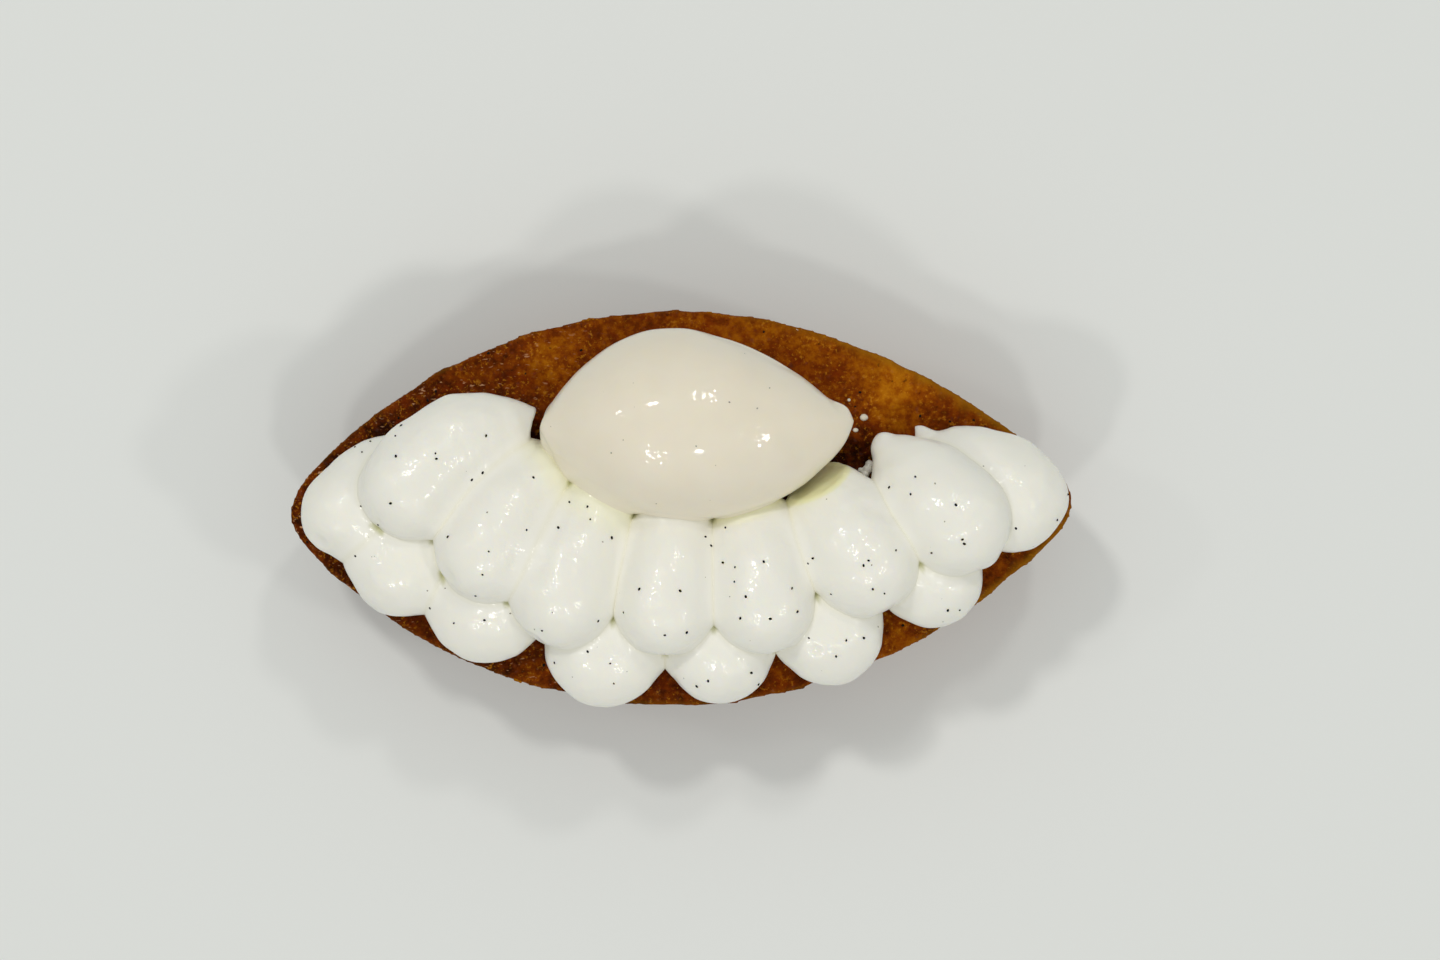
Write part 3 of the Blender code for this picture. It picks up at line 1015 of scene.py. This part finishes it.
def flow_reach(node, other_node, place):
    """How far two pieces feel each other at a place."""
    if "quenelle" in (node, other_node):
        return ice_flow_reach(other_node if node == "quenelle" else node, place)
    reach = CREAM_FLOW if node[:11] == other_node[:11] else ROW_FLOW
    return reach * (1.0 + CREAM_FLOW_VARIES * noise.noise(place / FLOW_PATCH))


def flow_lifts(node, piece):
    near = [other for other in soft if other != node and box_meets(piece, soft[other], CREAM_FLOW)]
    lifts = []
    for point in piece.data.vertices:
        place, facing = point.co, point.normal
        raised = [lift_at(place, facing, trees[other], flow_reach(node, other, place)) for other in near]
        lifts.append(facing * max(raised))
    return lifts


soft = {**dollops, "quenelle": quenelle}
trees = {node: tree_of([piece]) for node, piece in soft.items()}
all_lifts = {node: flow_lifts(node, piece) for node, piece in soft.items()}
for node, piece in soft.items():
    for point, lift in zip(piece.data.vertices, all_lifts[node]):
        point.co += lift
for node, piece in dollops.items():
    roughen(piece, *SKIN_WAVES)
    for dented in DENTS.get(node, ()):
        dent(piece, *dented)
    dress(piece, cream)
print("the cream has flowed together")

# %% [markdown]
# ## What the materials read from the mesh
#
# Three finishes change with the place on the piece: the crust is darker near the cream, darker still in a
# painted shade beside the quenelle's point, and golden in a painted highlight along the rim; the cream is
# more yellow in a painted shade deep in creases and pits, and stained by the ice cream, partly as painted
# shade, beside the quenelle; and the ice cream is darker towards its foot. Each is a number from 0 to 1 at
# every point, worked out from the distance to other pieces or from the place itself.

# %% Stored numbers
CREASE_REACH = 2.5 * MM
# Ice cream has run a little into these, over so many millimetres and so much, and over the sixth one's facet.
# Under the quenelle's edge, on the fifth and on that facet, the colour is also painted shade.
STAINED_AND_SHADED = {
    "cream_upper_2": (5.0, 0.4),
    "cream_upper_3": (5.0, 0.4),
    "cream_upper_5": (2.0, 0.6),
    "cream_upper_6": (5.0, 0.3),
}
# On the sixth one's facet the olive colour is painted shade from the quenelle, over a little stain.
STAINED_AND_SHADED_FACET = "cream_upper_6"
FACET_STAIN_AND_SHADE = 0.75
FACET_SKIN = 0.5 * MM
FOOT_REACH = 9.0 * MM
SOAK_REACH = 8.0 * MM


def nearness(place, tree, reach):
    """1 where a point touches the nearest surface, falling to 0 at the reach."""
    distance = tree.find_nearest(place, reach)[3]
    return 0.0 if distance is None else 1.0 - distance / reach


def stain_and_shade_values(node, piece):
    """How far ice cream has run in, with painted shade under the quenelle's edge, and how close each point
    lies to the stained and shaded facet.
    """
    reach, share = STAINED_AND_SHADED[node]
    values = [share * nearness(point.co, trees["quenelle"], reach * MM) for point in piece.data.vertices]
    if node != STAINED_AND_SHADED_FACET:
        return values
    place, facing = Vector(CUTS[node].place) * MM, Vector(CUTS[node].facing).normalized()
    away = [abs(facing.dot(point.co - place)) / FACET_SKIN for point in piece.data.vertices]
    return [max(value, FACET_STAIN_AND_SHADE * max(0.0, 1.0 - off**2)) for value, off in zip(values, away)]


def touch_values(node, piece):
    """How near each point is to the nearest other piece, for the creases, and to the next, for the pits.
    The cream gets painted shade by both.
    """
    near = [trees[other] for other in soft if other != node and box_meets(piece, soft[other], CREASE_REACH)]
    creases, pits = [], []
    for point in piece.data.vertices:
        pit, crease = sorted([0.0, 0.0, *(nearness(point.co, tree, CREASE_REACH) for tree in near)])[-2:]
        creases.append(crease)
        pits.append(pit)
    return creases, pits


trees = {node: tree_of([piece]) for node, piece in soft.items()}
for node, piece in soft.items():
    creases, pits = touch_values(node, piece)
    set_values(piece, "crease", creases)
    set_values(piece, "pit", pits)
    if node in STAINED_AND_SHADED:
        set_values(piece, "stain_and_shade", stain_and_shade_values(node, piece))
store(quenelle, "edge", lambda place: max(0.0, 1.0 - (place.z - CAKE_TOP) / FOOT_REACH))
# Where the quenelle is still frosted: places, and how far each patch reaches.
FROST_PATCHES = ((-4.1, 8.3, 3.4), (11.8, 10.8, 3.4), (5.7, 17.4, 3.0), (-9.2, 15.1, 2.6))
FROST_ELSEWHERE = 0.15


def bell(place, x, y, reach):
    """1 in the middle of a round patch, fading out over its reach."""
    away = ((place.x / MM - x) / reach) ** 2 + ((place.y / MM - y) / reach) ** 2
    return math.exp(-away)


def frost_at(place):
    return FROST_ELSEWHERE + (1.0 - FROST_ELSEWHERE) * max(bell(place, *patch) for patch in FROST_PATCHES)


store(quenelle, "frost", frost_at)

# Places, how far each patch reaches, and how much more golden it is. The last one is darker: painted
# shade of the quenelle's point, over a soaked spot.
GOLD_AND_SHADE_PATCHES = (
    (-21.0, 25.5, 7.0, 0.24),
    (35.0, 17.5, 9.0, 0.22),
    (8.0, 29.5, 8.0, 0.08),
    (38.0, -20.0, 9.0, 0.14),
    (28.6, 9.0, 5.0, -0.35),
)
BAKED_LEFT = 0.64
BAKED_RIGHT = 0.41
SOAK = 0.42
RIM_BAND = 1.3 * MM
RIM_BAND_FAINT = 0.45 * MM
RIM_HEIGHT = 3.0 * MM  # on the wall it fades over this height
topping = tree_of([quenelle, *dollops.values()])


def baked_and_shade_at(place):
    """How dark the crust is baked and soaked at a point, with a painted shade beside the quenelle's
    point: 0 for gold, 1 for the darkest brown.
    """
    across = (place.x + CAKE_HALF_LENGTH) / (2 * CAKE_HALF_LENGTH)
    dark = BAKED_LEFT + (BAKED_RIGHT - BAKED_LEFT) * min(1.0, max(0.0, across * 1.3 - 0.1))
    # The last patch is painted shade: it darkens the crust.
    for *patch, lightening in GOLD_AND_SHADE_PATCHES:
        dark -= lightening * bell(place, *patch)
    return dark + SOAK * nearness(place, topping, SOAK_REACH) ** 2


def rim_highlight_at(place):
    """How strong the painted highlight along the rim is at a point: a clear band on the right, and a
    faint line elsewhere.
    """
    height = max(0.0, 1.0 - (CAKE_TOP - place.z) / RIM_HEIGHT) ** 2
    rightness = min(1.0, max(0.0, (place.x / MM - 5.0) / 25.0))
    if place.y < 0.0:
        rightness *= min(1.0, max(0.0, (place.x / MM - 35.0) / 15.0))
    width = RIM_BAND_FAINT + (RIM_BAND - RIM_BAND_FAINT) * rightness
    ragged = 1.0 + 0.5 * noise.noise(place / (2.0 * MM))
    band = math.exp(-((max(0.0, rim_gap(place)) / (width * ragged)) ** 2))
    return (0.30 + 0.55 * rightness) * band * height


store(cake, "baked_and_shade", baked_and_shade_at)
store(cake, "rim", rim_highlight_at)
print("stored the numbers")

# %% [markdown]
# ## Vanilla seeds
#
# The seeds are about half a millimetre long, and most of them lie on the cream. Each is a small egg of a
# few faces. They are scattered by dropping a ray on the pieces and setting a seed where it lands, half
# sunk. A few lie deeper and look grey through the cream. Some dollops have many seeds and some almost none,
# so the numbers are given for each.

# %% Seeds
SEED_LENGTH = 0.50 * MM
SEED_WIDTH = 0.37 * MM
RAY_LENGTH = 200 * MM
LOWER_SEEDS = (3, 1, 3, 4, 4, 4, 2, 3)
UPPER_SEEDS = (11, 6, 7, 7, 11, 8, 7)
chance = random.Random(11)


def seed_shape():
    bpy.ops.mesh.primitive_ico_sphere_add(subdivisions=2, radius=0.5)
    seed = bpy.context.object
    points = [point.co.copy() for point in seed.data.vertices]
    faces = [tuple(face.vertices) for face in seed.data.polygons]
    bpy.data.objects.remove(seed)
    return points, faces


def land_on(target, everything, upright):
    """Drops slanting rays until one lands on the target. Returns the place and the way it faces."""
    aimed = tree_of([target])
    low, high = (Vector(map(pick_end, *target.bound_box)) for pick_end in (min, max))
    while True:
        aim = Vector([chance.uniform(low[i], high[i]) for i in range(3)])
        fall = Vector((chance.gauss(0.0, 0.6), chance.gauss(0.0, 0.6), -1.0)).normalized()
        start = aim - fall * RAY_LENGTH
        landed, normal, _, _ = everything.ray_cast(start, fall)
        on_target = aimed.ray_cast(start, fall)[0]
        if landed is None or on_target is None or (landed - on_target).length > TINY:
            continue
        if normal.z > upright:
            return landed, normal


def scatter(name, targets, sunk, material, upright=0.25):
    """Sets seeds on the targets, which are given with the number of seeds on each."""
    shape, faces = seed_shape()
    everything = tree_of([quenelle, cake, *dollops.values()])
    points, seed_faces = [], []
    for target, count in targets:
        for _ in range(count):
            landed, normal = land_on(target, everything, upright)
            size = chance.uniform(0.7, 1.15)
            stretch = Matrix.Diagonal((SEED_LENGTH * size, SEED_WIDTH * size, SEED_WIDTH * size * 0.8, 1.0))
            turn = Matrix.Rotation(chance.uniform(0.0, math.tau), 4, "Z")
            lie = normal.to_track_quat("Z", "Y").to_matrix().to_4x4()
            matrix = Matrix.Translation(landed - normal * SEED_WIDTH * sunk) @ lie @ turn @ stretch
            first = len(points)
            points.extend(matrix @ point for point in shape)
            seed_faces.extend(tuple(first + i for i in face) for face in faces)
    data = bpy.data.meshes.new(name)
    data.from_pydata(points, [], seed_faces)
    seeds = bpy.data.objects.new(name, data)
    bpy.context.scene.collection.objects.link(seeds)
    dress(seeds, material)
    return seeds


upper = [piece for name, piece in dollops.items() if "upper" in name]
lower = [piece for name, piece in dollops.items() if "lower" in name]
seed_pieces = [
    scatter("seeds_on_upper_cream", zip(upper, UPPER_SEEDS), 0.0, seed_black),
    scatter("seeds_on_lower_cream", zip(lower, LOWER_SEEDS), 0.0, seed_black),
    scatter("seeds_sunk_in_cream", [(piece, 4) for piece in upper + lower], 0.34, seed_sunk),
    scatter("seeds_on_ice_cream", [(quenelle, 26)], 0.34, seed_sunk),
    scatter("seeds_on_crust", [(cake, 34)], 0.0, seed_black, 0.9),
]
print("seeds:", [count_triangles(piece) for piece in seed_pieces])

# %% [markdown]
# ## Drops and crumbs
#
# Three drops of ice cream fell beside the quenelle's point, and bits of cream are caught between the last
# two upper dollops. A few crumbs hang on the rim where the cake was lifted out.

# %% Drops and crumbs
Drop = namedtuple("Drop", "x y wide high")
DROPS = (
    Drop(29.5, 13.9, 1.35, 0.8),
    Drop(28.2, 11.9, 0.85, 0.5),
    Drop(27.2, 16.7, 0.6, 0.3),
)
BITS = (
    Drop(30.1, 6.4, 1.4, 1.5),
    Drop(29.8, 5.6, 1.7, 1.8),
    Drop(29.4, 4.8, 1.5, 1.6),
    Drop(28.6, 5.5, 0.9, 0.9),
)
BITS_VOXEL = 0.12 * MM
BITS_UP = 3.5 * MM  # the bits of cream are caught this far above the crust
Crumb = namedtuple("Crumb", "x back length")
CRUMBS = (
    Crumb(-14.0, True, 1.6),
    Crumb(5.0, True, 1.0),
    Crumb(15.1, True, 1.1),
    Crumb(-26.7, False, 1.5),
    Crumb(-7.2, False, 1.2),
    Crumb(17.6, False, 1.4),
)


def lump(place, size, turn=0.0):
    """A small rough ball, stretched to a size."""
    bpy.ops.mesh.primitive_ico_sphere_add(
        subdivisions=3, radius=0.5, location=place, rotation=(0.0, 0.0, turn)
    )
    made = bpy.context.object
    made.scale = size
    settle(made)
    return made


def join(name, pieces, material):
    choose(pieces[0])
    for piece in pieces:
        piece.select_set(True)
    bpy.ops.object.join()
    joined = bpy.context.object
    joined.name = name
    settle(joined)
    dress(joined, material)
    return joined


def lumps(drops, height):
    """One lump for each drop, standing on a level."""
    made = []
    for drop in drops:
        place = (drop.x * MM, drop.y * MM, height + drop.high * 0.25 * MM)
        made.append(lump(place, (drop.wide * MM, drop.wide * MM * 0.85, drop.high * MM)))
    return made


def make_drops():
    joined = join("drops_of_ice_cream", lumps(DROPS, CAKE_TOP), ice_cream)
    roughen(joined, 1.0 * MM, 0.25 * MM)
    store(joined, "edge", 0.35)
    store(joined, "frost", 0.3)
    store(joined, "crease", 0.6)
    return joined


def make_bits():
    joined = join("bits_of_cream", lumps(BITS, CAKE_TOP + BITS_UP), cream)
    apply_modifier(joined, "REMESH", mode="VOXEL", voxel_size=BITS_VOXEL, use_smooth_shade=True)
    roughen(joined, 0.9 * MM, 0.3 * MM)
    store(joined, "crease", 0.6)
    return joined


def make_crumbs():
    made = []
    for crumb in CRUMBS:
        x = crumb.x * MM
        y = rim_depth(x, crumb.back) * (1 if crumb.back else -1)
        slope = math.atan2(rim_depth(x + MM, crumb.back) - rim_depth(x - MM, crumb.back), 2 * MM)
        length = crumb.length * MM
        size = (length, length * 0.4, length * 0.35)
        made.append(lump((x, y * 0.99, CAKE_TOP - 0.35 * MM), size, slope if crumb.back else -slope))
    joined = join("crumbs_on_rim", made, crust)
    roughen(joined, 0.5 * MM, 0.4 * MM, octaves=2)
    store(joined, "baked_and_shade", 0.05)
    # The crumbs take half of the painted rim highlight.
    store(joined, "rim", 0.5)
    return joined


drops = make_drops()
bits = make_bits()
crumbs = make_crumbs()
print(f"{len(DROPS)} drops and {len(CRUMBS)} crumbs")

# %% [markdown]
# ## Hand the pieces over
#
# Every piece rides on the one body there is, and the solid that each one replaces is hidden.

# %% Hand over
for node, piece in {**dollops, "quenelle": quenelle, "cake": cake}.items():
    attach(piece, "root")
    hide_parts(node)
for piece in (*seed_pieces, drops, bits, crumbs):
    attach(piece, "root")

print("cad box", [round(x / MM, 2) for x in (*cad_low, *cad_high)])
